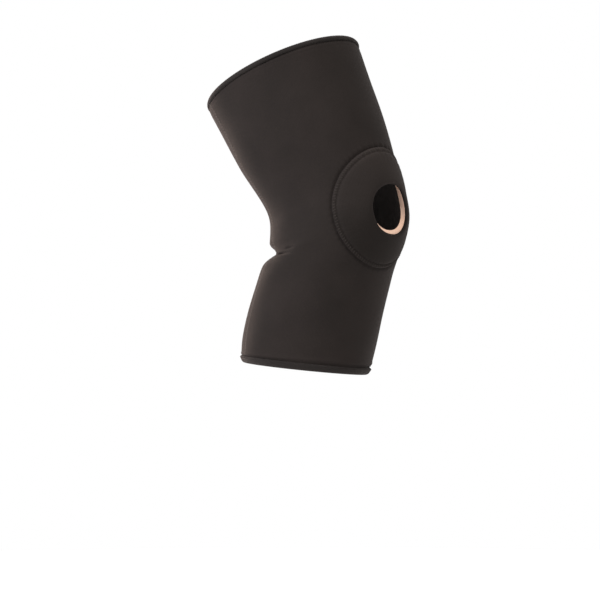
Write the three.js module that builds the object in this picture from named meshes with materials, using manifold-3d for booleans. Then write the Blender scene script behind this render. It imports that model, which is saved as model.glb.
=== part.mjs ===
// Knee support: a neoprene sleeve with an open kneecap, in the form it has on a bent right knee.
// Millimetres, +Z up. The front of the knee faces -Y and its outer side faces -X.
// The origin is the middle of the knee, inside the sleeve.
import * as THREE from 'three';
import { mergeVertices } from 'three/addons/utils/BufferGeometryUtils.js';
import Module from 'manifold-3d';

// Cloth thicknesses and clearances
const WALL = 4;
const GAP = 0.3;
const TAPE = 0.9;

// Sections of the sleeve, from the lower edge to the upper one.
// x, y, z: the middle of the section. pitch: how far its front is tipped up, in degrees.
// lean: how far its outer side is tipped up, in degrees. halfWidth, halfDepth: its half axes.
const SECTIONS = [
  { z: -115.9, y: 31.2, x: -8.2, pitch: -5, lean: 3, halfWidth: 55.5, halfDepth: 55.5 },
  { z: -94, y: 28.1, x: -6.5, pitch: -1, lean: 3, halfWidth: 58, halfDepth: 58 },
  { z: -69, y: 22.9, x: -4.3, pitch: 2, lean: 2, halfWidth: 58.6, halfDepth: 58.6 },
  { z: -42, y: 15.3, x: -2.8, pitch: 6, lean: 1.5, halfWidth: 58.7, halfDepth: 59.2 },
  { z: -25, y: 8.7, x: -1.8, pitch: 9, lean: 1, halfWidth: 57.6, halfDepth: 61.3 },
  { z: -5, y: 2.5, x: -0.2, pitch: 17, lean: 0, halfWidth: 55.7, halfDepth: 64.3 },
  { z: 14, y: 3, x: -0.1, pitch: 22, lean: 0, halfWidth: 54.4, halfDepth: 62.9 },
  { z: 34, y: 7.9, x: -0.3, pitch: 22, lean: 0, halfWidth: 55.5, halfDepth: 62 },
  { z: 75, y: 27.6, x: -2, pitch: 23, lean: -1, halfWidth: 64.8, halfDepth: 65.8 },
  { z: 111, y: 45.8, x: -4.2, pitch: 24, lean: -2, halfWidth: 67.7, halfDepth: 68.7 },
  { z: 137.8, y: 57.8, x: -6.6, pitch: 26, lean: -4.5, halfWidth: 69.8, halfDepth: 70.3 },
];
const LAST = SECTIONS.length - 1;

// Hems: the bindings draw both edges in by HEM_DRAW, over the last HEM_SPAN of a section
const HEM_DRAW = 1.6;
const HEM_SPAN = 1 / 3;

// Folds behind the knee: the crease, the roll over it and the dent above that. row: its place at the
// back, counted in sections. sag: how far it drops towards the sides, in sections. depth: how far it is
// pressed in, or swells out below zero. above, below: the height of its two flanks, in sections.
// fullAbove, fullBelow: how full each flank is. soft: how round its bottom is. reach: the angle from the
// back at which it fades.
const CREASE = {
  row: 5.2, sag: 0.78, depth: 11.5, above: 0.8, below: 0.8,
  fullAbove: 1.5, fullBelow: 3.2, soft: 0.03, reach: 105,
};
const ROLL = {
  row: 5.7, sag: 0, depth: -1.5, above: 0.6, below: 0.6,
  fullAbove: 1.5, fullBelow: 1.5, soft: 0.6, reach: 85,
};
const DENT = {
  row: 7.2, sag: 0, depth: 2.5, above: 0.9, below: 0.9,
  fullAbove: 1.5, fullBelow: 1.5, soft: 0.5, reach: 80,
};
const FOLDS = [CREASE, ROLL, DENT];

// Mesh: facets round the sleeve, and rings between each section and the next. One ring runs along the
// bottom of the crease, and the rings within RING_BEND sections of it bend with it.
const FACETS = 52;
const RINGS = [3, 3, 3, 3, 6, 5, 4, 4, 4, 3];
const RING_BEND = 2.2;

// Kneecap hole and the padded ring sewn on round it. HOLE_CLEAR: how far the cut runs past both faces of
// the wall. RING_ABOVE_KNEE: their middle, along the front from the knee's own section. RING_RISE: how
// steeply the ring's sides ride up round the knee.
const KNEE_ROW = 5;
const HOLE_HALF_HEIGHT = 22.2;
const HOLE_HALF_WIDTH = 21;
const HOLE_CLEAR = 10;
const RING_HALF_HEIGHT = 52.3;
const RING_HALF_WIDTH = 51.8;
const RING_ABOVE_KNEE = 5.5;
const RING_RISE = 0.5;
const RING_FACETS = 40;
const RING_GAP = 0.45;

// Outlines at each eighth of a turn from the +X side up, as shares of the half sizes: the stretched hole
// is drawn out below on the inner side, and the ring is drawn up at its top
const HOLE_OUTLINE = [0.92, 1, 0.98, 1, 1.01, 1, 0.99, 1.06];
const RING_OUTLINE = [1, 0.975, 1.045, 0.98, 1.02, 1.01, 1, 1];

// Profile of the ring over the gap: full at the hole, with a thin hem at its seam.
// size: 0 at the hole's edge and 1 at the ring's outer edge.
const RING_TOP = [
  { size: 0, height: 1.2 },
  { size: 0.06, height: 2 },
  { size: 0.2, height: 2.3 },
  { size: 0.5, height: 2.2 },
  { size: 0.75, height: 1.8 },
  { size: 0.87, height: 1 },
  { size: 0.97, height: 0.9 },
  { size: 1, height: 0.6 },
];
const RING_BASE = [0.98, 0.78, 0.58, 0.38, 0.18, 0.01];

// Bindings: tape folded over both edges. edge: its section. inward: the way into the sleeve, counted
// in sections. reach: how far each leg of the tape lies over the wall.
const BINDINGS = [
  { name: 'top_binding', edge: LAST, inward: -1, reach: 3.5 },
  { name: 'bottom_binding', edge: 0, inward: 1, reach: 5 },
];

const rad = THREE.MathUtils.degToRad;

// Catmull-Rom curve from b to c, at the share f of the way
function curve(a, b, c, d, f) {
  const bend = 2 * a - 5 * b + 4 * c - d;
  const twist = 3 * (b - c) + d - a;
  return b + 0.5 * f * (c - a + f * (bend + f * twist));
}

// Value of one column between two sections, by a curve through the rows
function column(name, t) {
  const i = THREE.MathUtils.clamp(Math.floor(t), 0, LAST - 1);
  const b = SECTIONS[i][name];
  const c = SECTIONS[i + 1][name];
  const a = i > 0 ? SECTIONS[i - 1][name] : 2 * b - c;
  const d = i + 1 < LAST ? SECTIONS[i + 2][name] : 2 * c - b;
  return curve(a, b, c, d, t - i);
}

// Place of a fold at an angle from the front
function foldRow({ row, sag }, phi) {
  return row - sag * Math.sin(phi) ** 2;
}

// How far the folds press the wall in at an angle from the front and a place along the sleeve
function foldDepth(phi, t) {
  const fromBack = Math.abs(THREE.MathUtils.euclideanModulo(phi, 2 * Math.PI) - Math.PI);
  let depth = 0;
  for (const fold of FOLDS) {
    const share = Math.min(fromBack / rad(fold.reach), 1);
    const row = foldRow(fold, phi);
    const upper = t >= row;
    const away = Math.abs(t - row) / (upper ? fold.above : fold.below);
    const eased = (Math.hypot(away, fold.soft) - fold.soft) / (Math.hypot(1, fold.soft) - fold.soft);
    const flank = Math.max(1 - eased, 0) ** (upper ? fold.fullAbove : fold.fullBelow);
    depth += fold.depth * Math.cos(share * Math.PI / 2) ** 2 * flank;
  }
  return depth;
}

// How far the bindings draw the wall in at a place along the sleeve
function hemDraw(t) {
  return HEM_DRAW * Math.max(1 - Math.min(t, LAST - t) / HEM_SPAN, 0);
}

// Point of the sleeve: phi is the angle from the front towards +X, t the place along the sleeve
// counted in sections, and inset the depth below the outer face in the section's plane
function wallPoint(phi, t, inset = 0) {
  const pitch = rad(column('pitch', t));
  const lean = rad(column('lean', t));
  const acrossShare = Math.sin(phi) / column('halfWidth', t);
  const frontShare = Math.cos(phi) / column('halfDepth', t);
  const radius = 1 / Math.hypot(acrossShare, frontShare) - foldDepth(phi, t) - hemDraw(t) - inset;
  const across = radius * Math.sin(phi);
  const front = radius * Math.cos(phi);
  return new THREE.Vector3(
    column('x', t) + across * Math.cos(lean),
    column('y', t) - front * Math.cos(pitch),
    column('z', t) + front * Math.sin(pitch) - across * Math.sin(lean),
  );
}

// Point a given height above the outer face, measured square to it
function abovePoint(phi, t, height) {
  const step = 0.01;
  const here = wallPoint(phi, t);
  const round = wallPoint(phi + step, t).sub(wallPoint(phi - step, t));
  const along = wallPoint(phi, t + step).sub(wallPoint(phi, t - step));
  return here.addScaledVector(round.cross(along).normalize(), height);
}

// Closed skin over rows of points: every row is a loop, and the rows are joined into a torus
// where wrap is true, or capped by a middle point at both ends
function loopSolid(rows, wrap) {
  const around = rows[0].length;
  const points = rows.flat();
  const faces = [];
  const last = wrap ? rows.length : rows.length - 1;
  for (let r = 0; r < last; r += 1) {
    const low = r * around;
    const high = ((r + 1) % rows.length) * around;
    for (let k = 0; k < around; k += 1) {
      const next = (k + 1) % around;
      faces.push(low + k, low + next, high + next, low + k, high + next, high + k);
    }
  }
  if (!wrap) {
    const top = (rows.length - 1) * around;
    const under = points.push(middle(rows[0])) - 1;
    const over = points.push(middle(rows[rows.length - 1])) - 1;
    for (let k = 0; k < around; k += 1) {
      const next = (k + 1) % around;
      faces.push(under, next, k, over, top + k, top + next);
    }
  }
  const geometry = new THREE.BufferGeometry();
  const position = points.flatMap((p) => p.toArray());
  geometry.setAttribute('position', new THREE.Float32BufferAttribute(position, 3));
  geometry.setIndex(faces);
  return geometry;
}

function middle(loop) {
  return loop.reduce((sum, p) => sum.add(p), new THREE.Vector3()).divideScalar(loop.length);
}

// Angles of the facets round the sleeve, shared by the sleeve and its bindings
const ANGLES = Array.from({ length: FACETS }, (_, k) => 2 * Math.PI * k / FACETS);

// Places of the rings along the sleeve
const STATIONS = RINGS.flatMap((count, i) => Array.from({ length: count }, (_, k) => i + k / count));
STATIONS.push(LAST);

// Ring of the sleeve that lies at a given place at the back
function wallRing(place, inset = 0) {
  const bend = Math.max(1 - Math.abs(place - CREASE.row) / RING_BEND, 0);
  return ANGLES.map((phi) => wallPoint(phi, place + bend * (foldRow(CREASE, phi) - CREASE.row), inset));
}

// Place along the sleeve whose front lies a given length above the knee, along the front line
const FRONT_STEPS = 200;
const frontLine = [{ t: 0, length: 0 }];
for (let k = 1; k <= FRONT_STEPS; k += 1) {
  const t = LAST * k / FRONT_STEPS;
  const before = frontLine[k - 1];
  frontLine.push({ t, length: before.length + wallPoint(0, t).distanceTo(wallPoint(0, before.t)) });
}
const kneeLength = frontLine.find((p) => p.t >= KNEE_ROW).length;

function frontPlace(length) {
  const i = frontLine.findIndex((p) => p.length >= kneeLength + length);
  const [a, b] = [frontLine[i - 1], frontLine[i]];
  return THREE.MathUtils.mapLinear(kneeLength + length, a.length, b.length, a.t, b.t);
}

// Point over the kneecap, in a plane chart centred on the hole: across towards +X, up along the front.
// The sides of the chart ride up round the bent knee.
function kneecapPoint(across, up, height) {
  const radius = SECTIONS[KNEE_ROW].halfWidth;
  const phi = across / radius;
  const rise = RING_RISE * radius * (1 - Math.cos(phi));
  return abovePoint(phi, frontPlace(RING_ABOVE_KNEE + up + rise), height);
}

// Share of an outline at a turn between 0 and 1
function outlineShare(outline, turn) {
  const i = Math.floor(turn * outline.length);
  const [a, b, c, d] = [-1, 0, 1, 2].map((k) => outline[(i + k + outline.length) % outline.length]);
  return curve(a, b, c, d, turn * outline.length - i);
}

// Loop of a given size round the hole, size 0 at the hole's edge and 1 at the ring's outer edge
function kneecapLoop(size, height) {
  return Array.from({ length: RING_FACETS }, (_, k) => {
    const turn = k / RING_FACETS;
    const hole = outlineShare(HOLE_OUTLINE, turn);
    const ring = outlineShare(RING_OUTLINE, turn);
    const across = THREE.MathUtils.lerp(hole * HOLE_HALF_WIDTH, ring * RING_HALF_WIDTH, size);
    const up = THREE.MathUtils.lerp(hole * HOLE_HALF_HEIGHT, ring * RING_HALF_HEIGHT, size);
    const angle = 2 * Math.PI * turn;
    return kneecapPoint(across * Math.cos(angle), up * Math.sin(angle), height);
  });
}

// Boolean solids
const wasm = await Module();
wasm.setup();

function toSolid(geometry) {
  const bare = geometry.clone();
  bare.deleteAttribute('normal');
  bare.deleteAttribute('uv');
  const merged = mergeVertices(bare, 1e-4);
  return new wasm.Manifold(new wasm.Mesh({
    numProp: 3,
    vertProperties: new Float32Array(merged.attributes.position.array),
    triVerts: new Uint32Array(merged.index.array),
  }));
}

function toGeometry(solid) {
  const mesh = solid.getMesh();
  const geometry = new THREE.BufferGeometry();
  geometry.setAttribute('position', new THREE.Float32BufferAttribute(mesh.vertProperties, 3));
  geometry.setIndex(Array.from(mesh.triVerts));
  return geometry;
}

// The sleeve: outer face up, inner face down, cut through over the kneecap
function sleeveGeometry() {
  const outer = STATIONS.map((place) => wallRing(place));
  const inner = STATIONS.map((place) => wallRing(place, WALL)).reverse();
  const tube = loopSolid([...outer, ...inner], true);
  const plug = loopSolid([kneecapLoop(0, -WALL - HOLE_CLEAR), kneecapLoop(0, HOLE_CLEAR)], false);
  return toGeometry(toSolid(tube).subtract(toSolid(plug)));
}

// The kneecap ring: its top from the hole out to the seam, then its base back in
function kneecapRingGeometry() {
  const over = RING_TOP.map(({ size, height }) => kneecapLoop(size, RING_GAP + height));
  const under = RING_BASE.map((size) => kneecapLoop(size, RING_GAP));
  return loopSolid([...over, ...under].reverse(), true);
}

// Binding: a U of tape round the wall's edge, carried once round the sleeve
function bindingGeometry({ edge, inward, reach }) {
  const spacing = sectionMiddle(edge).distanceTo(sectionMiddle(edge + inward));
  const leg = edge + inward * reach / spacing;
  const inside = -WALL - GAP;
  const profile = [
    { t: leg, out: GAP, past: 0 },
    { t: leg, out: GAP + 0.7 * TAPE, past: 0 },
    { t: edge, out: GAP + TAPE, past: 0 },
    { t: edge, out: 0, past: GAP + TAPE },
    { t: edge, out: -WALL, past: GAP + TAPE },
    { t: edge, out: inside - TAPE, past: 0 },
    { t: leg, out: inside - 0.7 * TAPE, past: 0 },
    { t: leg, out: inside, past: 0 },
    { t: edge, out: inside, past: GAP },
    { t: edge, out: GAP, past: GAP },
  ];
  const rows = profile.map(({ t, out, past }) => ANGLES.map((phi) => {
    const ahead = wallPoint(phi, edge).sub(wallPoint(phi, leg)).normalize();
    return wallPoint(phi, t, -out).addScaledVector(ahead, past);
  }));
  return loopSolid(inward < 0 ? rows : rows.reverse(), true);
}

function sectionMiddle(row) {
  return new THREE.Vector3(SECTIONS[row].x, SECTIONS[row].y, SECTIONS[row].z);
}

// Finishes
const NEOPRENE = { color: 0x2b2827, roughness: 0.9, metalness: 0 };
const TRIM = { color: 0x252221, roughness: 0.85, metalness: 0 };

function piece(name, geometry, finish) {
  geometry.computeVertexNormals();
  const mesh = new THREE.Mesh(geometry, new THREE.MeshStandardMaterial(finish));
  mesh.name = name;
  return mesh;
}

const kneeSupport = new THREE.Group();
kneeSupport.add(
  piece('sleeve', sleeveGeometry(), NEOPRENE),
  piece('kneecap_ring', kneecapRingGeometry(), NEOPRENE),
  ...BINDINGS.map((binding) => piece(binding.name, bindingGeometry(binding), TRIM)),
);

export default kneeSupport;
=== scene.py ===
import math

import bmesh
import bpy
import numpy as np
from mathutils import Matrix


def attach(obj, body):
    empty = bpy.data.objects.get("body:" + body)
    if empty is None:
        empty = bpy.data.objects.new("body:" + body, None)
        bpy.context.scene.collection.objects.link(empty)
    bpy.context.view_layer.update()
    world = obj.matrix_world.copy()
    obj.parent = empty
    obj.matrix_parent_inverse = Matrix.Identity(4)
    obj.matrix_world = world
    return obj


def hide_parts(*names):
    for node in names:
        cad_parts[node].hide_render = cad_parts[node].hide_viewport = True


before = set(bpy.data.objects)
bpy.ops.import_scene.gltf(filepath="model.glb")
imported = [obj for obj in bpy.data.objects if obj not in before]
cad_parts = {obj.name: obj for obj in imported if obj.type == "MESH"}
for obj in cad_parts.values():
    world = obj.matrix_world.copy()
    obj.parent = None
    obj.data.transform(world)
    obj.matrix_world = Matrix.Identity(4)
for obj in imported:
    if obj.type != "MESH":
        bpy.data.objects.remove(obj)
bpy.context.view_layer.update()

MM = 0.001
BODY = "root"

# Sections of the sleeve from the lower edge to the upper one, as the solids have them.
# x, y, z: the middle of the section. pitch: how far its front is tipped up, in degrees.
# lean: how far its outer side is tipped up, in degrees. half_width, half_depth: its half axes.
COLUMNS = ("z", "y", "x", "pitch", "lean", "half_width", "half_depth")
SECTIONS = np.array([
    (-115.9, 31.2, -8.2, -5.0, 3.0, 55.5, 55.5),
    (-94.0, 28.1, -6.5, -1.0, 3.0, 58.0, 58.0),
    (-69.0, 22.9, -4.3, 2.0, 2.0, 58.6, 58.6),
    (-42.0, 15.3, -2.8, 6.0, 1.5, 58.7, 59.2),
    (-25.0, 8.7, -1.8, 9.0, 1.0, 57.6, 61.3),
    (-5.0, 2.5, -0.2, 17.0, 0.0, 55.7, 64.3),
    (14.0, 3.0, -0.1, 22.0, 0.0, 54.4, 62.9),
    (34.0, 7.9, -0.3, 22.0, 0.0, 55.5, 62.0),
    (75.0, 27.6, -2.0, 23.0, -1.0, 64.8, 65.8),
    (111.0, 45.8, -4.2, 24.0, -2.0, 67.7, 68.7),
    (137.8, 57.8, -6.6, 26.0, -4.5, 69.8, 70.3),
])
LAST = len(SECTIONS) - 1
KNEE_ROW = 5
WALL = 4.0

# Hems: the bindings draw both edges in by HEM_DRAW, over the last HEM_SPAN of a section
HEM_DRAW = 1.6
HEM_SPAN = 1 / 3

# Folds behind the knee: the crease, the roll over it and the dent above that, as the solids have them.
# row: its place at the back, counted in sections. sag: how far it drops towards the sides. depth: how far
# it is pressed in, or swells out below zero. above, below: the height of its flanks, in sections.
# full_above, full_below: how full each flank is. soft: how round its bottom is.
# reach: the angle from the back at which it ends.
FOLD_COLUMNS = ("row", "sag", "depth", "above", "below", "full_above", "full_below", "soft", "reach")
FOLDS = (
    (5.2, 0.78, 11.5, 0.8, 0.8, 1.5, 3.2, 0.03, 105.0),
    (5.7, 0.0, -1.5, 0.6, 0.6, 1.5, 1.5, 0.6, 85.0),
    (7.2, 0.0, 2.5, 0.9, 0.9, 1.5, 1.5, 0.5, 80.0),
)

# Creases and swellings where the fold runs out at the sides. from_back: angle from the back, in degrees.
# row: place, in sections. drop: how far it falls towards the front, in sections. depth: as for a fold.
# wide, tall: half sizes, in millimetres and in sections.
DIMPLES = (
    dict(from_back=70.0, row=4.5, drop=0.12, depth=2.4, wide=13.0, tall=0.06),
    dict(from_back=83.0, row=4.63, drop=0.05, depth=1.1, wide=6.0, tall=0.06),
    dict(from_back=98.0, row=4.55, drop=0.0, depth=-1.0, wide=11.0, tall=0.25),
    dict(from_back=72.0, row=4.33, drop=0.12, depth=-0.8, wide=12.0, tall=0.09),
)

# Waves of the cloth's own unevenness. around: waves round the sleeve. along: radians from section to
# section. The broad ones also come and go along the sleeve, by SWELL_BEAT from the phase SWELL_PHASE.
BROAD_SWELL = dict(height=0.3, around=3, along=1.9)
SMALL_SWELL = dict(height=0.15, around=7, along=-2.3)
SWELL_BEAT = 1.3
SWELL_PHASE = 0.6

# Kneecap hole and ring, as the solids have them
HOLE_HALF_HEIGHT = 22.2
HOLE_HALF_WIDTH = 21.0
RING_HALF_HEIGHT = 52.3
RING_HALF_WIDTH = 51.8
RING_ABOVE_KNEE = 5.5
RING_RISE = 0.5
RING_GAP = 0.45

# Their outlines at each eighth of a turn from the +X side up, as shares of the half sizes
HOLE_OUTLINE = (0.92, 1.0, 0.98, 1.0, 1.01, 1.0, 0.99, 1.06)
RING_OUTLINE = (1.0, 0.975, 1.045, 0.98, 1.02, 1.01, 1.0, 1.0)

# Cut of the hole: points round it, how far the cutting plug stands out of both faces of the wall, and
# how far the cut moves along X, Y and Z for each millimetre into the wall
HOLE_POINTS = 160
HOLE_CLEAR = 10.0
HOLE_SLANT = (0.4, 0.0, 1.0)

# Profile of the ring's top. size: 0 at the hole and 1 at the seam. height: above the sleeve.
RING_TOP = (
    dict(size=0.005, height=0.45),
    dict(size=-0.015, height=1.0),
    dict(size=-0.005, height=1.7),
    dict(size=0.03, height=2.35),
    dict(size=0.09, height=2.7),
    dict(size=0.2, height=2.8),
    dict(size=0.4, height=2.75),
    dict(size=0.6, height=2.6),
    dict(size=0.76, height=2.35),
    dict(size=0.85, height=1.8),
    dict(size=0.91, height=1.4),
    dict(size=0.955, height=1.3),
    dict(size=0.985, height=0.95),
    dict(size=1.0, height=0.45),
)
# Sizes of the loops on its underside, and its mesh
RING_BASE = (0.95, 0.78, 0.58, 0.38, 0.18)
RING_AROUND = 448
RING_PROFILE = 60

# Unevenness of the ring's top: its height and its phase
RING_EASE = 0.2
RING_EASE_PHASE = 0.7

# Stitch line inside the ring's seam, with needle holes, and the groove that the seam presses into the
# sleeve. Places and widths are counted in ring sizes, depths in millimetres.
TOPSTITCH_SIZE = 0.88
TOPSTITCH_WIDTH = 0.028
TOPSTITCH_DEPTH = 0.8
NEEDLE_COUNT = 112
NEEDLE_SHARE = 0.25
RING_SEAM_SIZE = 1.01
RING_SEAM_WIDTH = 0.045
RING_SEAM_DEPTH = 1.3

# Overcast stitches over the ring's edge, from a place beside the stitch line to one beside the seam.
# turn: how far an end lies to the side of the stitch's middle, in turns of the ring.
OVERCAST_COUNT = 124
OVERCAST_ENDS = (
    dict(size=0.905, height=1.5, turn=-0.0015),
    dict(size=0.99, height=0.95, turn=0.0015),
)

# Gathers of the cloth across that seam, in the same measures. They drift to and fro along it, and their
# strength swings round a mean and is greatest at the turn GATHER_PEAK.
GATHER_SIZE = 1.07
GATHER_WIDTH = 0.08
GATHER_DEPTH = 0.36
RING_GATHER_DEPTH = 0.2
GATHER_COUNT = 57
GATHER_DRIFT = 2.0
GATHER_DRIFT_COUNT = 3
GATHER_MEAN = 0.6
GATHER_SWING = 0.4
GATHER_PEAK = 2.0

# Bindings. edge: its section. inward: the way into the sleeve. reach: how far its legs lie over the
# wall. ribs: how far its overlocked threads stand out. ridge: how far its leg's end swells.
# flat: length and width of its tape before it was folded, in metres.
BINDINGS = (
    dict(name="top_binding", edge=LAST, inward=-1, reach=3.5, ribs=0.15, ridge=0.0, flat=(0.43, 0.014)),
    dict(name="bottom_binding", edge=0, inward=1, reach=5.0, ribs=0.1, ridge=0.45, flat=(0.34, 0.017)),
)
# Half of a binding's outline, from its leg's end to the middle of the edge. along: 0 at the leg's end
# and 1 at the wall's edge. past: beyond the edge. out: above the wall's face.
BEAD = (
    dict(along=0.0, past=0.0, out=0.1),
    dict(along=0.02, past=0.0, out=0.5),
    dict(along=0.14, past=0.0, out=1.05),
    dict(along=0.34, past=0.0, out=1.45),
    dict(along=0.62, past=0.0, out=1.5),
    dict(along=0.9, past=0.0, out=1.2),
    dict(along=1.0, past=0.5, out=0.7),
    dict(along=1.0, past=1.15, out=-0.3),
    dict(along=1.0, past=1.4, out=-2.0),
)
# Mesh of a binding, the swelling near its leg's end, and its ribs, which fade out at the ends of the tape
BEAD_STEPS = 33
BINDING_AROUND = 1260
RIDGE_PLACE = 0.27
RIDGE_WIDTH = 0.16
RIB_COUNT = 210
RIB_SLANT = 0.9
RIB_FADE = 8
# The tape's inner side: how far it lies past the wall's edge, and off both its faces
TAPE_PAST = 0.2
TAPE_CLEAR = 0.05

# Hem of the sleeve: pressed in under a binding, with a groove at the binding's leg and then a soft lip
HEM_GROOVE = 0.5
HEM_GROOVE_WIDTH = 1.0
HEM_LIP = 0.45
HEM_LIP_AWAY = 2.6
HEM_LIP_WIDTH = 1.4
HEM_UNDER = 0.25

# Mesh of the sleeve. Its columns are crowded to the front and bent along the back seam, over
# BACK_SEAM_FOLLOW radians. Its outer rows lie ROW_STEP apart, and closer at the hems and the crease.
SLEEVE_COLUMNS = 280
COLUMN_CROWDING = 0.3
BACK_SEAM_FOLLOW = 0.6
ROW_STEP = 1.35
HEM_CROWDING = 1.3
HEM_CROWDING_SPAN = 8.0
CREASE_ROW = 4.8
CREASE_CROWDING = 1.5
CREASE_CROWDING_SPAN = 0.6
INNER_ROWS = 48
FINE_STEPS = 1000
SHARP_ANGLE = 60.0

# A thread: its radius, mesh, rise and dip in radii, and the share of its girth at its ends
THREAD_RADIUS = 0.24
THREAD_SIDES = 6
THREAD_STATIONS = 7
THREAD_RISE = 1.3
THREAD_DIP = 0.7
THREAD_THIN = 0.55

# Stitches: their pitch, length and lift off the cloth, and how far hem stitches lie from the binding.
# Their lines are measured a little more than once round, for the last stitch.
TOPSTITCH_PITCH = 3.0
TOPSTITCH_LENGTH = 2.3
TOPSTITCH_LIFT = 0.7
HEM_STITCH_PITCH = 2.6
HEM_STITCH_LENGTH = 2.0
HEM_STITCH_LIFT = 0.1
HEM_STITCH_AWAY = 0.7
STITCH_LINE_END = 2.2 * np.pi
STITCH_LINE_POINTS = 2201

# Back seam: a zigzag's pitch, half width and lift, its distance from the bindings, and its angle from the
# front at each section, in degrees
BACK_SEAM_PITCH = 2.6
BACK_SEAM_HALF = 1.9
BACK_SEAM_LIFT = -0.08
BACK_SEAM_CLEAR = 1.2
BACK_SEAM_ANGLES = (
    -121.0, -121.5, -122.0, -123.0, -125.0, -128.0, -131.0, -132.5, -130.5, -128.5, -127.5,
)

# Cloth: its mottling and speckle with their shares in its tone, what the knit adds to the tone, the tones
# of its colours, the tone and lightness of the painted light on a cloth's upper part, and its shine. Depths
# and knit sizes are in metres.
MOTTLE_SCALE = 30.0
MOTTLE_DETAIL = 6.0
MOTTLE_SHARE = 0.6
SPECKLE_SCALE = 1400.0
SPECKLE_DETAIL = 2.0
SPECKLE_SHARE = 0.4
SPECKLE_HEIGHT = 0.6
KNIT_TONE = 0.2
DARK_TONE = 0.3
LIGHT_TONE = 0.72
# Painted highlight on a cloth's upper part, standing in for light from above: its top tone and lightness
PAINTED_LIGHT_TONE = 1.0
PAINTED_LIGHT_GAIN = 1.4
RELIEF_DEPTH = 0.0003
ROUGHNESS = (0.8, 0.95)
SPECULAR = 0.08
SHEEN_ROUGHNESS = 0.4
SHEEN_TINT = (1.0, 0.86, 0.83, 1.0)

# Knits: the sizes of a wale and a course, the slant of a loop, and the heights of a wale and of half a loop
KNIT = (0.0011, 0.0008)
TAPE_KNIT = (0.0007, 0.0005)
LOOP_SLANT = 0.5
WALE_HEIGHT = 0.6
LOOP_HALF_HEIGHT = 0.2

# View: its angle, distance and scale, and where the knee lies in its frame
VIEW_AZIMUTH = -51.0
VIEW_DISTANCE = 2600.0
MM_PER_PIXEL = 0.86
FRAME_PIXELS = 600.0
KNEE_PIXEL = (339.5, 232.5)
SENSOR = 36.0

# Floor
FLOOR_LEVEL = -470.0
FLOOR_RADIUS = 2400.0
FLOOR_POINTS = 128
FLOOR_DARK = (0.74, 0.74, 0.74)
FLOOR_LIGHT = (0.78, 0.775, 0.77)
FLOOR_GRAIN = 6.0
FLOOR_DETAIL = 4.0
FLOOR_ROUGHNESS = 0.8

# Soft square lights: places from the view's middle, and sizes, in millimetres
LIGHTS = (
    dict(name="key", right=-1700, nearer=1200, up=1200, size=1200, watts=70.0, colour=(0.97, 0.97, 1.0)),
    dict(name="fill", right=800, nearer=1100, up=2300, size=1200, watts=20.0, colour=(1.0, 0.85, 0.62)),
    dict(name="edge", right=-1500, nearer=-2000, up=300, size=800, watts=52.0, colour=(1.0, 0.74, 0.62)),
    dict(name="back", right=-100, nearer=-2500, up=900, size=1000, watts=40.0, colour=(1.0, 0.95, 0.92)),
)


# Curves and angles

def curve_through(values, place):
    """A Catmull-Rom curve through values, one to each whole place."""
    values = np.asarray(values, float)
    ends = [2 * values[0] - values[1], 2 * values[-1] - values[-2]]
    values = np.concatenate([ends[:1], values, ends[1:]])
    i = np.clip(np.floor(place).astype(int), 0, len(values) - 4)
    f = place - i
    a, b, c, d = (values[i + k] for k in range(4))
    bend = 2 * a - 5 * b + 4 * c - d
    twist = 3 * (b - c) + d - a
    return b + 0.5 * f * (c - a + f * (bend + f * twist))


def bell(distance, width):
    return np.exp(-(distance / width) ** 2)


def turned(angle):
    """The same angle between half a turn back and half a turn on."""
    return np.mod(angle + np.pi, 2 * np.pi) - np.pi


def even_turns(count):
    """Angles of even steps once round."""
    return 2 * np.pi * np.arange(count) / count


def unit(vectors):
    return vectors / np.linalg.norm(vectors, axis=-1, keepdims=True)


def running_length(points):
    """Length along a line of points up to each of them."""
    return np.concatenate([[0.0], np.cumsum(np.linalg.norm(np.diff(points, axis=0), axis=1))])


# Sleeve surface

def column(name, t):
    """One column of SECTIONS at places t along the sleeve."""
    return curve_through(SECTIONS[:, COLUMNS.index(name)], t)


def from_back(phi):
    """Angle from the back of the sleeve."""
    return np.abs(np.mod(phi, 2 * np.pi) - np.pi)


def fold_depth(phi, t):
    """How far the folds press the wall in."""
    depth = np.zeros(phi.shape)
    for values in FOLDS:
        fold = dict(zip(FOLD_COLUMNS, values))
        soft = fold["soft"]
        away = t - fold["row"] + fold["sag"] * np.sin(phi) ** 2
        full = np.where(away >= 0, fold["full_above"], fold["full_below"])
        away = np.where(away >= 0, away / fold["above"], -away / fold["below"])
        eased = (np.hypot(away, soft) - soft) / (math.hypot(1, soft) - soft)
        share = np.minimum(from_back(phi) / math.radians(fold["reach"]), 1)
        depth = depth + fold["depth"] * np.cos(share * np.pi / 2) ** 2 * np.clip(1 - eased, 0, 1) ** full
    return depth


def hem_draw(t):
    """How far the bindings draw the wall in."""
    return HEM_DRAW * np.maximum(1 - np.minimum(t, LAST - t) / HEM_SPAN, 0)


def wall(phi, t, inset=0.0):
    """Points of the sleeve. phi: angle from the front towards +X. t: place along it, in sections."""
    phi, t = np.broadcast_arrays(np.asarray(phi, float), np.asarray(t, float))
    pitch = np.radians(column("pitch", t))
    lean = np.radians(column("lean", t))
    across_share = np.sin(phi) / column("half_width", t)
    front_share = np.cos(phi) / column("half_depth", t)
    radius = 1 / np.hypot(across_share, front_share) - fold_depth(phi, t) - hem_draw(t) - inset
    across = radius * np.sin(phi)
    front = radius * np.cos(phi)
    x = column("x", t) + across * np.cos(lean)
    y = column("y", t) - front * np.cos(pitch)
    z = column("z", t) + front * np.sin(pitch) - across * np.sin(lean)
    return np.stack([x, y, z], axis=-1)


def outward(phi, t):
    """Unit normals of the sleeve's outer face."""
    step = 0.01
    round_it = wall(phi + step, t) - wall(phi - step, t)
    along = wall(phi, t + step) - wall(phi, t - step)
    return unit(np.cross(round_it, along))


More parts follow.
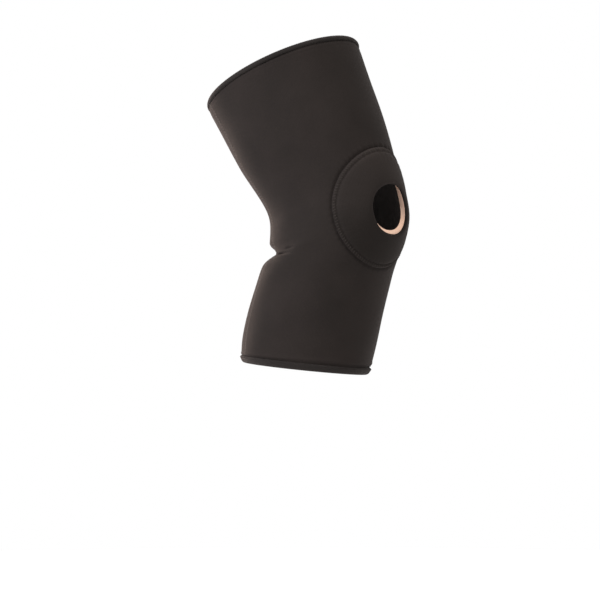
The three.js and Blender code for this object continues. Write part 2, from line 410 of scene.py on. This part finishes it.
def above(phi, t, height):
    """Points a height above the outer face, square to it."""
    phi, t, height = np.broadcast_arrays(phi, t, height)
    return wall(phi, t) + outward(phi, t) * height[..., None]


FINE_T = np.linspace(0, LAST, FINE_STEPS + 1)
FRONT_LENGTH = running_length(wall(0.0, FINE_T))
FRONT_LENGTH = FRONT_LENGTH - np.interp(KNEE_ROW, FINE_T, FRONT_LENGTH)
SIDE_LENGTH = running_length(wall(-np.pi / 2, FINE_T))
KNEE_RADIUS = SECTIONS[KNEE_ROW, COLUMNS.index("half_width")]


# Chart over the kneecap

def chart_rise(phi):
    """How much higher level lines of the chart run at the sides than at the front."""
    return RING_RISE * KNEE_RADIUS * (1 - np.cos(phi))


def chart_to_sleeve(across, up):
    """Angle and place on the sleeve of a point of the kneecap chart."""
    phi = across / KNEE_RADIUS
    return phi, np.interp(RING_ABOVE_KNEE + up + chart_rise(phi), FRONT_LENGTH, FINE_T)


def outline_share(outline, turn):
    """Share of an outline at a turn, by a closed curve through its values."""
    place = np.mod(turn / (2 * np.pi), 1) * len(outline)
    return curve_through((*outline[-2:], *outline, *outline[:2]), place + 2)


def ring_chart(size, turn):
    """Chart point of the loop of a given size round the hole, at turns from the +X side."""
    hole = outline_share(HOLE_OUTLINE, turn) * (1 - size)
    ring = outline_share(RING_OUTLINE, turn) * size
    across = (hole * HOLE_HALF_WIDTH + ring * RING_HALF_WIDTH) * np.cos(turn)
    up = (hole * HOLE_HALF_HEIGHT + ring * RING_HALF_HEIGHT) * np.sin(turn)
    return across, up


def ring_point(size, turn, height):
    phi, t = chart_to_sleeve(*ring_chart(size, turn))
    return above(phi, t, height)


def ring_place(phi, t):
    """How far a point of the sleeve lies from the hole (0) towards the ring's seam (1), and its turn."""
    phi = turned(phi)
    up = (np.interp(t, FINE_T, FRONT_LENGTH) - RING_ABOVE_KNEE - chart_rise(phi)) / RING_HALF_HEIGHT
    across = phi * KNEE_RADIUS / RING_HALF_WIDTH
    turn = np.arctan2(up, across)
    past = np.hypot(across, up) - outline_share(RING_OUTLINE, turn)
    return 1 + past * RING_HALF_WIDTH / (RING_HALF_WIDTH - HOLE_HALF_WIDTH), turn


def gathers(turn):
    """Wave of the gathers along the ring's seam, strongest above, towards its outer side."""
    wave = np.sin(GATHER_COUNT * turn + GATHER_DRIFT * np.sin(GATHER_DRIFT_COUNT * turn))
    return wave * (GATHER_MEAN + GATHER_SWING * np.cos(turn - GATHER_PEAK))


# Relief of the sleeve's outer face

def seam_angle(t):
    """Angle of the back seam at places t along the sleeve."""
    return np.radians(curve_through(BACK_SEAM_ANGLES, t))


def section_spacing(edge, inward):
    """Distance between the middles of an edge's section and the next one."""
    columns = [COLUMNS.index(name) for name in "xyz"]
    return float(np.linalg.norm(SECTIONS[edge, columns] - SECTIONS[edge + inward, columns]))


def swell(phi, t, height, around, along):
    """A wave over the sleeve."""
    return height * np.sin(around * phi + along * t)


def relief(phi, t):
    """How far seams, hems and the cloth's own unevenness press the outer face in."""
    size, turn = ring_place(phi, t)
    inset = RING_SEAM_DEPTH * bell(size - RING_SEAM_SIZE, RING_SEAM_WIDTH)
    inset = inset - GATHER_DEPTH * gathers(turn) * bell(size - GATHER_SIZE, GATHER_WIDTH)
    for binding in BINDINGS:
        away = np.abs(t - binding["edge"]) * section_spacing(binding["edge"], binding["inward"])
        beyond = away - binding["reach"]
        inset = inset + HEM_GROOVE * bell(np.maximum(beyond, 0), HEM_GROOVE_WIDTH) * (beyond > 0)
        inset = inset + np.where(beyond > 0, 0, HEM_UNDER)
        inset = inset - HEM_LIP * bell(beyond - HEM_LIP_AWAY, HEM_LIP_WIDTH)
    for dimple in DIMPLES:
        across = (from_back(phi) - math.radians(dimple["from_back"])) * KNEE_RADIUS
        row = dimple["row"] - dimple["drop"] * across / dimple["wide"]
        spot = bell(across, dimple["wide"]) * bell(t - row, dimple["tall"])
        inset = inset + dimple["depth"] * spot
    calm = np.clip(size - 1, 0, 1)
    broad = swell(phi, t, **BROAD_SWELL) * np.sin(SWELL_BEAT * t + SWELL_PHASE)
    small = swell(phi, t, **SMALL_SWELL)
    return inset + calm * (broad + small)


def outer_face(phi, t, lift=0.0):
    """Points on the sleeve's outer face with its relief."""
    phi, t = np.broadcast_arrays(phi, t)
    return wall(phi, t, relief(phi, t) - lift)


# Meshes

def add_object(name, data):
    """An object in the scene that shows some data."""
    made = bpy.data.objects.new(name, data)
    bpy.context.scene.collection.objects.link(made)
    return made


def add_mesh(name, points, faces, material, uv=None):
    """A smooth mesh object from points and flat cloth coordinates in millimetres."""
    mesh = bpy.data.meshes.new(name)
    mesh.from_pydata((np.asarray(points) * MM).tolist(), [], faces)
    if uv is not None:
        layer = mesh.uv_layers.new(name="cloth")
        layer.data.foreach_set("uv", (np.asarray(uv) * MM).ravel())
    mesh.polygons.foreach_set("use_smooth", [True] * len(mesh.polygons))
    mesh.materials.append(material)
    mesh.update()
    return add_object(name, mesh)


def grid_corners(rows, columns, wrap):
    """Row and column of each corner of the faces over rows of closed loops."""
    r, k = np.meshgrid(np.arange(rows if wrap else rows - 1), np.arange(columns), indexing="ij")
    r, k = r.ravel(), k.ravel()
    return np.stack([r, r, r + 1, r + 1], axis=1), np.stack([k, k + 1, k + 1, k], axis=1)


def add_torus(name, rows, material, u, v):
    """A closed surface through rows of closed loops. u, v: cloth coordinates of rows + 1 by columns + 1."""
    count, columns = rows.shape[:2]
    corner_row, corner_column = grid_corners(count, columns, True)
    faces = (corner_row % count) * columns + corner_column % columns
    uv = np.stack([u[corner_row, corner_column], v[corner_row, corner_column]], axis=-1)
    return add_mesh(name, rows.reshape(-1, 3), faces.tolist(), material, uv)


def add_threads(name, starts, ends, normals, material):
    """Short threads from start to end, each an arc that dips into the cloth at both ends."""
    place = np.linspace(0, 1, THREAD_STATIONS)
    bow = np.sin(np.pi * place)
    along = unit(ends - starts)
    side = unit(np.cross(normals, along))
    up = np.cross(along, side)
    lift = THREAD_RADIUS * (THREAD_RISE * bow - THREAD_DIP)
    middle = starts[:, None] + (ends - starts)[:, None] * place[None, :, None]
    middle = middle + up[:, None] * lift[None, :, None]
    angle = even_turns(THREAD_SIDES)
    girth = THREAD_RADIUS * (THREAD_THIN + (1 - THREAD_THIN) * bow)
    spokes = side[:, None] * np.cos(angle)[None, :, None] + up[:, None] * np.sin(angle)[None, :, None]
    points = middle[:, :, None] + spokes[:, None] * girth[None, :, None, None]
    corner_row, corner_column = grid_corners(THREAD_STATIONS, THREAD_SIDES, False)
    one = corner_row * THREAD_SIDES + corner_column % THREAD_SIDES
    size = THREAD_STATIONS * THREAD_SIDES
    firsts = np.arange(len(starts)) * size
    end_loop = np.arange(THREAD_SIDES)
    faces = (firsts[:, None, None] + one[None]).reshape(-1, 4).tolist()
    faces += (firsts[:, None] + end_loop[::-1]).tolist()
    faces += (firsts[:, None] + size - THREAD_SIDES + end_loop).tolist()
    return add_mesh(name, points.reshape(-1, 3), faces, material)


# Materials

def new_material(name):
    """A material, its node tree and its shader."""
    material = bpy.data.materials.new(name)
    material.use_nodes = True
    return material, material.node_tree, material.node_tree.nodes["Principled BSDF"]


def add_node(tree, kind, inputs=None, **settings):
    """A shader node. Inputs are sockets to link or plain values."""
    made = tree.nodes.new(kind)
    for key, value in settings.items():
        setattr(made, key, value)
    for key, value in (inputs or {}).items():
        if isinstance(value, bpy.types.NodeSocket):
            tree.links.new(value, made.inputs[key])
        else:
            made.inputs[key].default_value = value
    return made


def calc(tree, operation, first, second=0.0):
    """The result of a math node."""
    return add_node(tree, "ShaderNodeMath", {0: first, 1: second}, operation=operation).outputs[0]


def plus(tree, first, second, rate):
    """The first value with the second one added at a rate."""
    return calc(tree, "ADD", first, calc(tree, "MULTIPLY", second, rate))


def noise(tree, place, scale, detail):
    inputs = {"Vector": place, "Scale": scale, "Detail": detail}
    return add_node(tree, "ShaderNodeTexNoise", inputs).outputs["Fac"]


def colour_ramp(tree, tone, stops):
    """Colours by tone. stops: two or more pairs of a tone and its colour, in rising order."""
    ramp = add_node(tree, "ShaderNodeValToRGB", {"Fac": tone})
    elements = ramp.color_ramp.elements
    for i, (position, colour) in enumerate(stops):
        element = elements[i] if i < len(elements) else elements.new(position)
        element.position = position
        element.color = (*colour, 1.0)
    return ramp.outputs["Color"]


def knit_height(tree, wale, course):
    """Height of a knitted face with wales and courses of the given sizes in metres, from 0 to 1."""
    uv = add_node(tree, "ShaderNodeUVMap", uv_map="cloth").outputs["UV"]
    split = add_node(tree, "ShaderNodeSeparateXYZ", {0: uv})
    part = calc(tree, "FRACT", calc(tree, "DIVIDE", split.outputs["X"], wale))
    slope = calc(tree, "MULTIPLY", calc(tree, "ABSOLUTE", calc(tree, "SUBTRACT", part, 0.5)), 2.0)
    rows = calc(tree, "DIVIDE", split.outputs["Y"], course)
    phase = plus(tree, rows, slope, LOOP_SLANT)
    stitch = calc(tree, "SINE", calc(tree, "MULTIPLY", phase, 2 * math.pi))
    ridge = calc(tree, "SUBTRACT", 1.0, calc(tree, "MULTIPLY", slope, slope))
    loops = calc(tree, "MULTIPLY", calc(tree, "ADD", stitch, 1.0), LOOP_HALF_HEIGHT)
    return plus(tree, loops, ridge, WALE_HEIGHT)


def cloth_material(name, dark, light, sheen, strength, knit=None, painted_light_above=None):
    """Matte cloth: mottled and speckled colour, a soft sheen, and a knit where its sizes are given.

    strength: of its fine relief. The last argument: the level in metres above which the cloth's tone is
    painted lighter, a painted highlight standing in for light from above, and how fast its tone rises.
    """
    material, tree, shader = new_material(name)
    place = add_node(tree, "ShaderNodeTexCoord").outputs["Object"]
    mottle = noise(tree, place, MOTTLE_SCALE, MOTTLE_DETAIL)
    speckle = noise(tree, place, SPECKLE_SCALE, SPECKLE_DETAIL)
    tone = plus(tree, calc(tree, "MULTIPLY", mottle, MOTTLE_SHARE), speckle, SPECKLE_SHARE)
    height = speckle
    stops = [(DARK_TONE, dark), (LIGHT_TONE, light)]
    # Painted light: above the given level the tone rises with height, so the upper part is painted lighter
    # as if lit from above
    if painted_light_above:
        level, rate = painted_light_above
        split = add_node(tree, "ShaderNodeSeparateXYZ", {0: place})
        tone = plus(tree, tone, calc(tree, "SUBTRACT", split.outputs["Z"], level), rate)
        stops.append((PAINTED_LIGHT_TONE, [PAINTED_LIGHT_GAIN * channel for channel in light]))
    if knit:
        loops = knit_height(tree, *knit)
        tone = plus(tree, tone, calc(tree, "SUBTRACT", loops, 0.5), KNIT_TONE)
        height = plus(tree, loops, height, SPECKLE_HEIGHT)
    least, most = ROUGHNESS
    rough = add_node(tree, "ShaderNodeMapRange", {"Value": mottle, "To Min": least, "To Max": most})
    relief_inputs = {"Height": height, "Strength": strength, "Distance": RELIEF_DEPTH}
    bump = add_node(tree, "ShaderNodeBump", relief_inputs)
    tree.links.new(colour_ramp(tree, tone, stops), shader.inputs["Base Color"])
    tree.links.new(rough.outputs["Result"], shader.inputs["Roughness"])
    tree.links.new(bump.outputs["Normal"], shader.inputs["Normal"])
    shader.inputs["Specular IOR Level"].default_value = SPECULAR
    shader.inputs["Sheen Weight"].default_value = sheen
    shader.inputs["Sheen Roughness"].default_value = SHEEN_ROUGHNESS
    shader.inputs["Sheen Tint"].default_value = SHEEN_TINT
    return material


NEOPRENE = cloth_material(
    "neoprene", dark=(0.0103, 0.0083, 0.0076), light=(0.0168, 0.0134, 0.0124),
    sheen=0.04, strength=0.4, knit=KNIT)
LINING = cloth_material(
    "lining", dark=(0.02, 0.0175, 0.0165), light=(0.032, 0.028, 0.0265),
    sheen=0.05, strength=0.4, knit=KNIT)
FOAM = cloth_material("foam", dark=(0.62, 0.42, 0.33), light=(0.82, 0.58, 0.46), sheen=0.0, strength=0.3)
# The ring's cloth is painted lighter towards its top, a painted highlight standing in for light from above
RING_CLOTH = cloth_material(
    "ring_cloth", dark=(0.0102, 0.0083, 0.0075), light=(0.0165, 0.0133, 0.0123),
    sheen=0.04, strength=0.4, knit=KNIT, painted_light_above=(0.025, 8.0))
TAPE = cloth_material(
    "tape", dark=(0.0095, 0.0082, 0.0077), light=(0.017, 0.0146, 0.0139),
    sheen=0.06, strength=0.6, knit=TAPE_KNIT)
THREAD = cloth_material(
    "thread", dark=(0.011, 0.0093, 0.0085), light=(0.019, 0.016, 0.0148), sheen=0.05, strength=0.3)
EDGE_THREAD = cloth_material(
    "edge_thread", dark=(0.023, 0.0196, 0.018), light=(0.038, 0.0323, 0.0296), sheen=0.05, strength=0.3)
SEAM_THREAD = cloth_material(
    "seam_thread", dark=(0.06, 0.051, 0.047), light=(0.09, 0.0765, 0.07), sheen=0.05, strength=0.3)


# Pieces

def sleeve_rows():
    """Places of the rows, closer together at both hems and at the crease."""
    from_edge = np.minimum(SIDE_LENGTH, SIDE_LENGTH[-1] - SIDE_LENGTH)
    at_hems = HEM_CROWDING * bell(from_edge, HEM_CROWDING_SPAN)
    at_crease = CREASE_CROWDING * bell(FINE_T - CREASE_ROW, CREASE_CROWDING_SPAN)
    density = 1 / ROW_STEP + at_hems + at_crease
    steps = np.diff(SIDE_LENGTH) * 0.5 * (density[1:] + density[:-1])
    count = np.concatenate([[0.0], np.cumsum(steps)])
    return np.interp(np.linspace(0, count[-1], round(count[-1]) + 1), count, FINE_T)


def sleeve_columns(t):
    """Angles of the columns in rows at places t: one along the back seam, with one close on each side."""
    even = np.linspace(-np.pi, np.pi, SLEEVE_COLUMNS - 1)
    phi = even - COLUMN_CROWDING * np.sin(even)
    nearest = np.argmin(np.abs(phi - seam_angle(KNEE_ROW)))
    seam = phi[nearest]
    beside = [(seam + phi[nearest - 1]) / 2, (seam + phi[nearest + 1]) / 2]
    phi = np.sort(np.concatenate([phi, beside]))
    drift = seam_angle(t) - seam
    return phi + drift[:, None] * bell(turned(phi - seam), BACK_SEAM_FOLLOW)


def make_hole_plug():
    """A closed plug that cuts the kneecap hole through the wall."""
    turn = even_turns(HOLE_POINTS)
    loops = [
        ring_point(0.0, turn, height) - height * np.array(HOLE_SLANT)
        for height in (-WALL - HOLE_CLEAR, HOLE_CLEAR)
    ]
    corner_row, corner_column = grid_corners(2, HOLE_POINTS, False)
    faces = (corner_row * HOLE_POINTS + corner_column % HOLE_POINTS).tolist()
    faces.append(list(range(HOLE_POINTS))[::-1])
    faces.append(list(range(HOLE_POINTS, 2 * HOLE_POINTS)))
    return add_mesh("hole_plug", np.concatenate(loops), faces, FOAM)


def drop_spare_points(mesh):
    """Takes out the points on the rim of a cut that only two edges meet."""
    shape = bmesh.new()
    shape.from_mesh(mesh)
    spare = [point for point in shape.verts if len(point.link_edges) == 2]
    bmesh.ops.dissolve_verts(shape, verts=spare)
    shape.to_mesh(mesh)
    shape.free()


def cut_hole(sleeve):
    """Cuts the kneecap hole, whose sides take the plug's material."""
    plug = make_hole_plug()
    cut = sleeve.modifiers.new("kneecap_hole", "BOOLEAN")
    cut.operation = "DIFFERENCE"
    cut.material_mode = "TRANSFER"
    cut.object = plug
    bpy.context.view_layer.update()
    whole = sleeve.evaluated_get(bpy.context.evaluated_depsgraph_get())
    sleeve.data = bpy.data.meshes.new_from_object(whole)
    sleeve.modifiers.clear()
    drop_spare_points(sleeve.data)
    sleeve.data.set_sharp_from_angle(angle=math.radians(SHARP_ANGLE))
    bpy.data.objects.remove(plug)


def make_sleeve():
    """The sleeve's outer face and its lining as one closed cloth, with the kneecap hole cut through."""
    outer = sleeve_rows()
    inner = outer[np.linspace(len(outer) - 1, 0, INNER_ROWS).round().astype(int)]
    rows = np.concatenate([
        outer_face(sleeve_columns(outer)[:, :-1], outer[:, None]),
        wall(sleeve_columns(inner)[:, :-1], inner[:, None], WALL),
    ])
    total = SIDE_LENGTH[-1] + WALL
    up = np.interp(outer, FINE_T, SIDE_LENGTH)
    down = 2 * total - WALL - np.interp(inner, FINE_T, SIDE_LENGTH)
    u = KNEE_RADIUS * sleeve_columns(np.concatenate([outer, inner, outer[:1]]))
    u, v = np.broadcast_arrays(u, np.concatenate([up, down, [2 * total]])[:, None])
    sleeve = add_torus("sleeve_cloth", rows, NEOPRENE, u, v)
    sleeve.data.materials.append(LINING)
    inside = np.zeros((len(rows), SLEEVE_COLUMNS), np.int32)
    inside[len(outer):] = 1
    sleeve.data.polygons.foreach_set("material_index", inside.ravel())
    cut_hole(sleeve)
    return sleeve


def make_ring():
    """The padded ring, with its stitch channel, gathers and flat underside."""
    turn = 2 * np.pi * np.arange(RING_AROUND + 1) / RING_AROUND
    places = np.linspace(0, len(RING_TOP) - 1, RING_PROFILE)
    sizes = curve_through([p["size"] for p in RING_TOP], places)[:, None]
    heights = curve_through([p["height"] for p in RING_TOP], places)[:, None]
    inside = np.clip(sizes, 0, 1)
    needle = 1 - NEEDLE_SHARE + NEEDLE_SHARE * np.cos(NEEDLE_COUNT * turn)
    channel = TOPSTITCH_DEPTH * needle * bell(sizes - TOPSTITCH_SIZE, TOPSTITCH_WIDTH)
    pucker = RING_GATHER_DEPTH * gathers(turn) * inside ** 3
    ease = RING_EASE * np.sin(2 * turn + RING_EASE_PHASE) * np.sin(np.pi * inside)
    heights = np.maximum(heights - channel + pucker + ease, RING_GAP)
    base = np.array(RING_BASE)[:, None]
    sizes = np.concatenate([sizes, base])[::-1]
    heights = np.concatenate([heights, RING_GAP + 0 * base * turn])[::-1]
    rows = ring_point(sizes, turn[None], heights)
    u, v = ring_chart(np.concatenate([sizes, sizes[:1]]), turn[None])
    return add_torus("ring_pad", rows[:, :-1], RING_CLOTH, u, v)


def binding_frame(edge, inward, reach, phi):
    """The wall's outer edge, the way outwards and the way past the edge, at each angle."""
    leg = edge + inward * reach / section_spacing(edge, inward)
    rim = wall(phi, float(edge))
    out = unit(rim - wall(phi, float(edge), WALL))
    past = unit(rim - wall(phi, leg))
    return rim, out, past


def make_binding(name, edge, inward, reach, ribs, ridge, **_):
    """A tape folded over an edge, rounded into a bead and ribbed by its overlocked threads."""
    phi = np.linspace(-np.pi, np.pi, BINDING_AROUND + 1)
    rim, out_way, past_way = binding_frame(edge, inward, reach, phi)
    half = np.linspace(0, len(BEAD) - 1, BEAD_STEPS // 2 + 1)
    along = curve_through([p["along"] for p in BEAD], half)
    out = curve_through([p["out"] for p in BEAD], half) + ridge * bell(along - RIDGE_PLACE, RIDGE_WIDTH)
    past = curve_through([p["past"] - reach * (1 - p["along"]) for p in BEAD], half)
    out = np.concatenate([out, -WALL - out[-2::-1]])
    past = np.concatenate([past, past[-2::-1]])
    outline = np.stack([past, out], axis=1)
    tangent = unit(np.gradient(outline, axis=0))
    reached = running_length(outline)
    share = reached / reached[-1]
    wave = 0.5 + 0.5 * np.cos(RIB_COUNT * phi[None] + 2 * np.pi * RIB_SLANT * reached[:, None])
    rise = ribs * wave * np.clip(RIB_FADE * np.minimum(share, 1 - share), 0, 1)[:, None] ** 2
    past = past[:, None] - rise * tangent[:, 1:]
    out = out[:, None] + rise * tangent[:, :1]
    back_past = np.array([-reach, TAPE_PAST, TAPE_PAST, -reach])
    back_out = np.array([-WALL - TAPE_CLEAR, -WALL - TAPE_CLEAR, TAPE_CLEAR, TAPE_CLEAR])
    flat = np.zeros((1, len(phi)))
    past = np.concatenate([past, back_past[:, None] + flat])
    out = np.concatenate([out, back_out[:, None] + flat])
    rows = rim[None] + past[..., None] * past_way[None] + out[..., None] * out_way[None]
    down = np.concatenate([reached, reached[-1] + 1 + np.arange(len(back_past) + 1)])
    u, v = np.broadcast_arrays(KNEE_RADIUS * phi[None], down[:, None])
    if inward > 0:
        rows, v = rows[::-1], v[::-1]
    return add_torus(f"{name}_bead", rows[:, :-1], TAPE, u, v)


def stitch_turns(line, pitch, stitch):
    """Turns at which stitches start and end, spread evenly round a closed line of points."""
    turn = np.linspace(0, STITCH_LINE_END, STITCH_LINE_POINTS)
    length = running_length(line(turn))
    once = np.interp(2 * np.pi, turn, length)
    count = round(once / pitch)
    starts = np.arange(count) * once / count
    return [np.interp(place, length, turn) for place in (starts, starts + stitch)]


def make_topstitch():
    """Stitches in the ring's channel."""
    def line(turn, lift=0.0):
        return ring_point(TOPSTITCH_SIZE, turn, lift)

    starts, ends = stitch_turns(line, TOPSTITCH_PITCH, TOPSTITCH_LENGTH)
    phi, t = chart_to_sleeve(*ring_chart(TOPSTITCH_SIZE, (starts + ends) / 2))
    lines = [line(place, TOPSTITCH_LIFT) for place in (starts, ends)]
    return add_threads("ring_topstitch", *lines, outward(phi, t), THREAD)


def make_overcast():
    """Slanted stitches that bind the ring's edge."""
    middle = np.arange(OVERCAST_COUNT) / OVERCAST_COUNT
    lines = [
        ring_point(end["size"], 2 * np.pi * (middle + end["turn"]), end["height"])
        for end in OVERCAST_ENDS
    ]
    phi, t = chart_to_sleeve(*ring_chart(1.0, 2 * np.pi * middle))
    return add_threads("ring_overcast", *lines, outward(phi, t), EDGE_THREAD)


def make_hem_stitches(name, edge, inward, reach, **_):
    """Needle stitches in the groove beside a binding."""
    t = edge + inward * (reach + HEM_STITCH_AWAY) / section_spacing(edge, inward)

    def line(turn, lift=0.0):
        return outer_face(turn, t, lift)

    starts, ends = stitch_turns(line, HEM_STITCH_PITCH, HEM_STITCH_LENGTH)
    lines = [line(place, HEM_STITCH_LIFT) for place in (starts, ends)]
    normals = outward((starts + ends) / 2, np.full(starts.shape, t))
    return add_threads(f"{name}_stitches", *lines, normals, THREAD)


def make_back_seam():
    """A flat zigzag seam that closes the sleeve behind its outer side."""
    length = running_length(outer_face(seam_angle(FINE_T), FINE_T))
    top, bottom = (binding["reach"] + BACK_SEAM_CLEAR for binding in BINDINGS)
    marks = np.arange(bottom, length[-1] - top, BACK_SEAM_PITCH / 2)
    t = np.interp(marks, length, FINE_T)
    sway = BACK_SEAM_HALF / KNEE_RADIUS * np.where(np.arange(len(t)) % 2, 1, -1)
    points = outer_face(seam_angle(t) + sway, t, BACK_SEAM_LIFT)
    between = (t[1:] + t[:-1]) / 2
    normals = outward(seam_angle(between), between)
    return add_threads("back_seam", points[:-1], points[1:], normals, SEAM_THREAD)


sleeve = make_sleeve()
ring = make_ring()
topstitch = make_topstitch()
overcast = make_overcast()
back_seam = make_back_seam()
beads = [make_binding(**binding) for binding in BINDINGS]
hem_stitches = [make_hem_stitches(**binding) for binding in BINDINGS]

for piece in (sleeve, ring, topstitch, overcast, back_seam, *beads, *hem_stitches):
    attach(piece, BODY)
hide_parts("sleeve")
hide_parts("kneecap_ring")
for bead, binding in zip(beads, BINDINGS):
    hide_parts(binding["name"])


# Stage

def floor_material():
    material, tree, shader = new_material("floor")
    place = add_node(tree, "ShaderNodeTexCoord").outputs["Object"]
    grain = noise(tree, place, FLOOR_GRAIN, FLOOR_DETAIL)
    colours = colour_ramp(tree, grain, [(0.0, FLOOR_DARK), (1.0, FLOOR_LIGHT)])
    tree.links.new(colours, shader.inputs["Base Color"])
    shader.inputs["Roughness"].default_value = FLOOR_ROUGHNESS
    return material


def make_floor():
    turn = even_turns(FLOOR_POINTS)
    x = FLOOR_RADIUS * np.cos(turn)
    y = FLOOR_RADIUS * np.sin(turn)
    rim = np.stack([x, y, np.full(FLOOR_POINTS, FLOOR_LEVEL)], axis=1)
    return add_mesh("floor", rim, [list(range(FLOOR_POINTS))], floor_material())


make_floor()

VIEW_ANGLE = math.radians(VIEW_AZIMUTH)
NEARER = np.array([math.sin(VIEW_ANGLE), -math.cos(VIEW_ANGLE), 0.0])
RIGHT = np.array([math.cos(VIEW_ANGLE), math.sin(VIEW_ANGLE), 0.0])
UP = np.array([0.0, 0.0, 1.0])
KNEE_RIGHT, KNEE_DOWN = ((pixel - FRAME_PIXELS / 2) * MM_PER_PIXEL for pixel in KNEE_PIXEL)
AIM = UP * KNEE_DOWN - RIGHT * KNEE_RIGHT


def pose_from(place, aim):
    """A pose in metres at a place in millimetres, whose -Z axis looks at aim."""
    back = unit(place - aim)
    right = unit(np.cross(UP, back))
    pose = np.eye(4)
    pose[:3, :3] = np.stack([right, np.cross(back, right), back], axis=1)
    pose[:3, 3] = place * MM
    return Matrix(pose.tolist())


def add_camera():
    data = bpy.data.cameras.new("camera")
    data.sensor_width = SENSOR
    data.lens = SENSOR * VIEW_DISTANCE / (FRAME_PIXELS * MM_PER_PIXEL)
    camera = add_object("camera", data)
    camera.matrix_world = pose_from(AIM + NEARER * VIEW_DISTANCE, AIM)
    bpy.context.scene.camera = camera


def add_light(name, right, nearer, up, size, watts, colour):
    """A soft square light that shines on the view's middle."""
    data = bpy.data.lights.new(name, "AREA")
    data.size = size * MM
    data.energy = watts
    data.color = colour
    light = add_object(name, data)
    light.matrix_world = pose_from(AIM + RIGHT * right + NEARER * nearer + UP * up, AIM)


def add_world():
    """An even white surround."""
    world = bpy.data.worlds.new("studio")
    world.use_nodes = True
    background = world.node_tree.nodes["Background"]
    background.inputs["Color"].default_value = (1.0, 1.0, 1.0, 1.0)
    background.inputs["Strength"].default_value = 1.0
    bpy.context.scene.world = world


add_camera()
for light in LIGHTS:
    add_light(**light)
add_world()
bpy.context.scene.view_settings.view_transform = "Standard"
